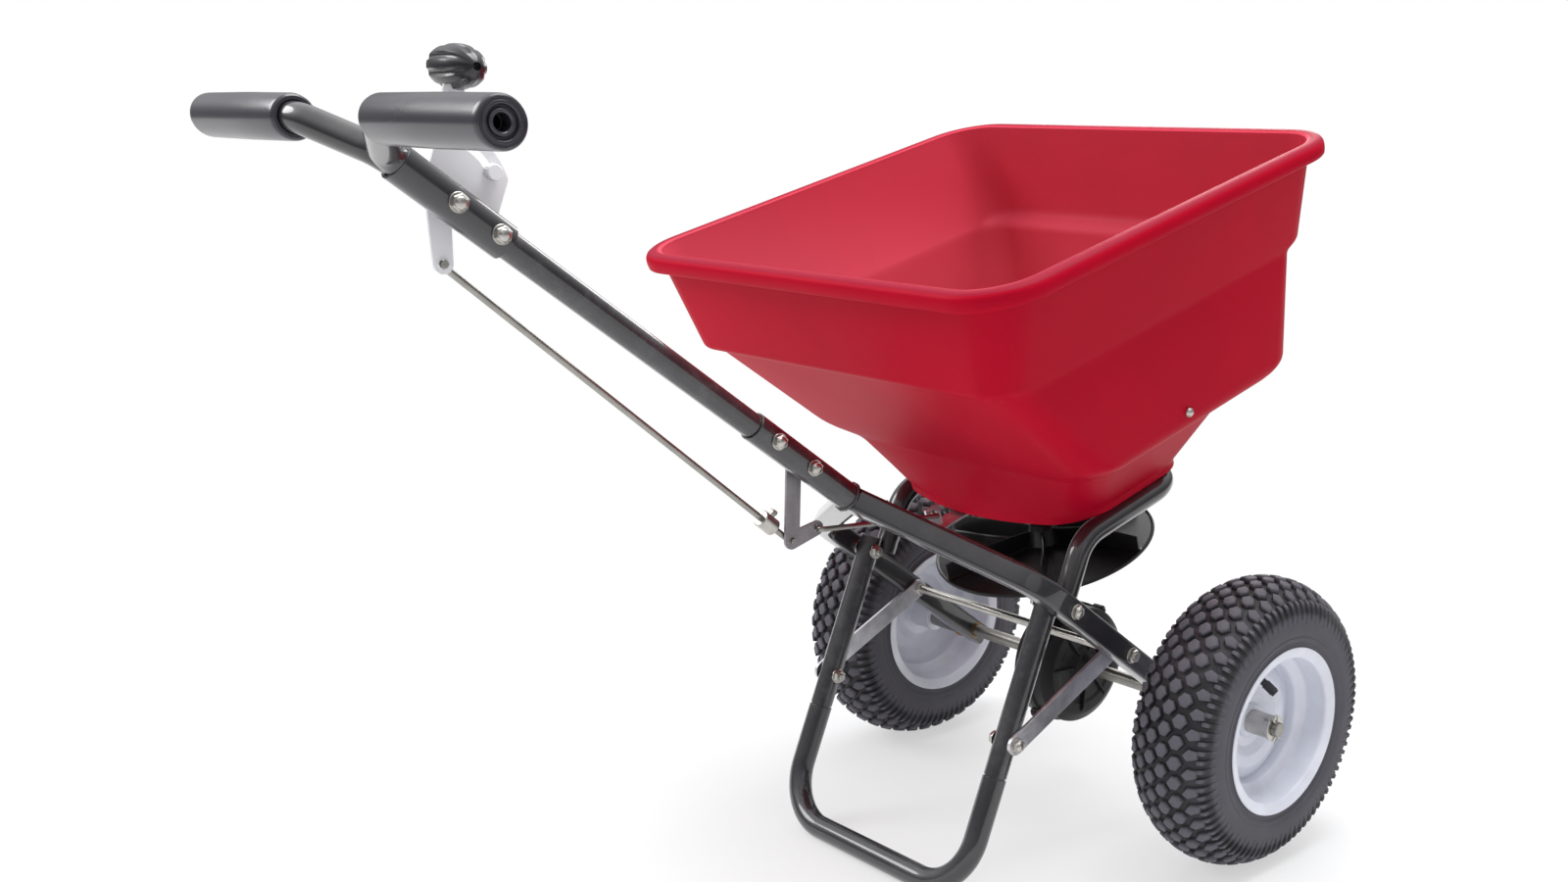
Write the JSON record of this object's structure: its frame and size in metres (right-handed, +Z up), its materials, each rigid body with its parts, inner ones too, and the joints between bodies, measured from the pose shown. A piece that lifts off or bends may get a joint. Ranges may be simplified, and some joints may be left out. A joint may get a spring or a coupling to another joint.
{
  "type": "walk-behind broadcast spreader",
  "caption": "Red garden spreader with a poly hopper, spinner and bevel gear drive, stud-tread pneumatic wheels, tubular push frame, foot stand and a shut-off lever with its linkage.",
  "frame": {"origin": "centre of the bounding box on the floor, parked on the stand", "axes": "+X to the operator's right, +Y forward, +Z up"},
  "size_m": [0.656, 1.0176, 0.8447],
  "materials": {
    "hopper_poly": "smooth moulded polyethylene, satin gloss",
    "frame_powder_coat": "gloss powder coat",
    "grip_plastic": "satin moulded",
    "strap_steel": "plated sheet steel, satin",
    "zinc_steel": "bright zinc plate",
    "axle_steel": "drawn bar, satin",
    "gear_steel": "cut teeth, greased",
    "bearing_bronze": "sintered, satin",
    "rim_paint": "gloss enamel",
    "tyre_rubber": "stud tread, matt",
    "valve_rubber": "satin",
    "gearbox_nylon": "satin moulded",
    "spinner_poly": "satin gloss moulded",
    "control_acetal": "satin moulded"
  },
  "bodies": {
    "frame": {"hopper": "hopper_poly", "handle_lower_tube": "frame_powder_coat", "handle_neck_sleeve": "frame_powder_coat", "handle_bar_right": "frame_powder_coat", "handle_bar_left": "frame_powder_coat", "grip_right": "grip_plastic", "grip_left": "grip_plastic", "frame_neck": "frame_powder_coat", "side_rail_right": "frame_powder_coat", "side_rail_left": "frame_powder_coat", "hopper_support_ring": "frame_powder_coat", "stand_leg_right": "frame_powder_coat", "stand_leg_left": "frame_powder_coat", "stand_foot_loop": "frame_powder_coat", "stand_brace_right": "strap_steel", "stand_brace_left": "strap_steel", "cross_rod": "zinc_steel", "rail_bolt_right": "zinc_steel", "rail_bolt_left": "zinc_steel", "brace_bolt_right": "zinc_steel", "brace_bolt_left": "zinc_steel", "axle_bush_right": "bearing_bronze", "axle_bush_left": "bearing_bronze", "gearbox_shell_right": "gearbox_nylon", "gearbox_shell_left": "gearbox_nylon", "floor_bush": "gearbox_nylon", "shutter_guide": "strap_steel", "gauge_plate": "control_acetal", "rate_stop": "zinc_steel", "lever_pivot_bolt": "zinc_steel", "sleeve_bolt": "zinc_steel", "neck_bolt": "zinc_steel", "crank_pivot_bolt": "zinc_steel"},
    "drive_axle": {"axle": "axle_steel", "ring_gear": "gear_steel", "wheel_rim_right": "rim_paint", "tyre_right": "tyre_rubber", "valve_stem_right": "valve_rubber", "hub_bush_right": "bearing_bronze", "hub_washer_right": "zinc_steel", "hub_washer_left": "zinc_steel", "cotter_pin_right": "zinc_steel", "cotter_pin_left": "zinc_steel", "axle_spacer_right": "axle_steel", "axle_spacer_left": "axle_steel"},
    "coast_wheel": {"wheel_rim_left": "rim_paint", "tyre_left": "tyre_rubber", "valve_stem_left": "valve_rubber", "hub_bush_left": "bearing_bronze"},
    "spinner": {"spinner_shaft": "zinc_steel", "spinner": "spinner_poly", "pinion": "gear_steel", "agitator": "zinc_steel"},
    "lever": {"control_lever": "control_acetal", "lever_knob": "grip_plastic"},
    "rod": {"control_rod": "zinc_steel", "rod_collar": "zinc_steel"},
    "crank": {"bell_crank": "strap_steel"},
    "link": {"link_rod": "zinc_steel"},
    "shutter": {"shutter_plate": "strap_steel"}
  },
  "joints": [
    {"name": "axle_spin", "type": "hinge", "parent": "frame", "child": "drive_axle", "pos_m": [0, 0.34396, 0.16489], "axis": [1, 0, 0], "continuous": true},
    {"name": "coast_wheel_spin", "type": "hinge", "parent": "drive_axle", "child": "coast_wheel", "pos_m": [-0.276, 0.34396, 0.16489], "axis": [1, 0, 0], "continuous": true},
    {"name": "spinner_spin", "type": "hinge", "parent": "frame", "child": "spinner", "pos_m": [0, 0.29668, 0.32297], "axis": [0, -0.2865, 0.9581], "continuous": true},
    {"name": "lever_swing", "type": "hinge", "parent": "frame", "child": "lever", "pos_m": [-0.02, -0.40441, 0.72372], "axis": [1, 0, 0], "range_deg": [-33, 0]},
    {"name": "rod_swing", "type": "hinge", "parent": "lever", "child": "rod", "pos_m": [-0.02, -0.40401, 0.67292], "axis": [1, 0, 0], "range_deg": [0, 33.36]},
    {"name": "crank_swing", "type": "hinge", "parent": "frame", "child": "crank", "pos_m": [-0.02, -0.05507, 0.46285], "axis": [1, 0, 0], "range_deg": [-21.31, 0]},
    {"name": "link_swing", "type": "hinge", "parent": "crank", "child": "link", "pos_m": [-0.02, -0.02718, 0.39001], "axis": [1, 0, 0], "range_deg": [0, 20.49]},
    {"name": "shutter_slide", "type": "slide", "parent": "frame", "child": "shutter", "axis": [0, 0.9581, 0.2865], "range_m": [-0.02939, 0]}
  ],
  "couplings": [
    {"joint": "spinner_spin", "follows": "axle_spin", "ratio": 4},
    {"joint": "rod_swing", "follows": "lever_swing", "ratio": -0.99565},
    {"joint": "crank_swing", "follows": "lever_swing", "ratio": 0.63059},
    {"joint": "link_swing", "follows": "lever_swing", "ratio": -0.60584},
    {"joint": "shutter_slide", "follows": "lever_swing", "m_per_rad": 0.050153}
  ]
}
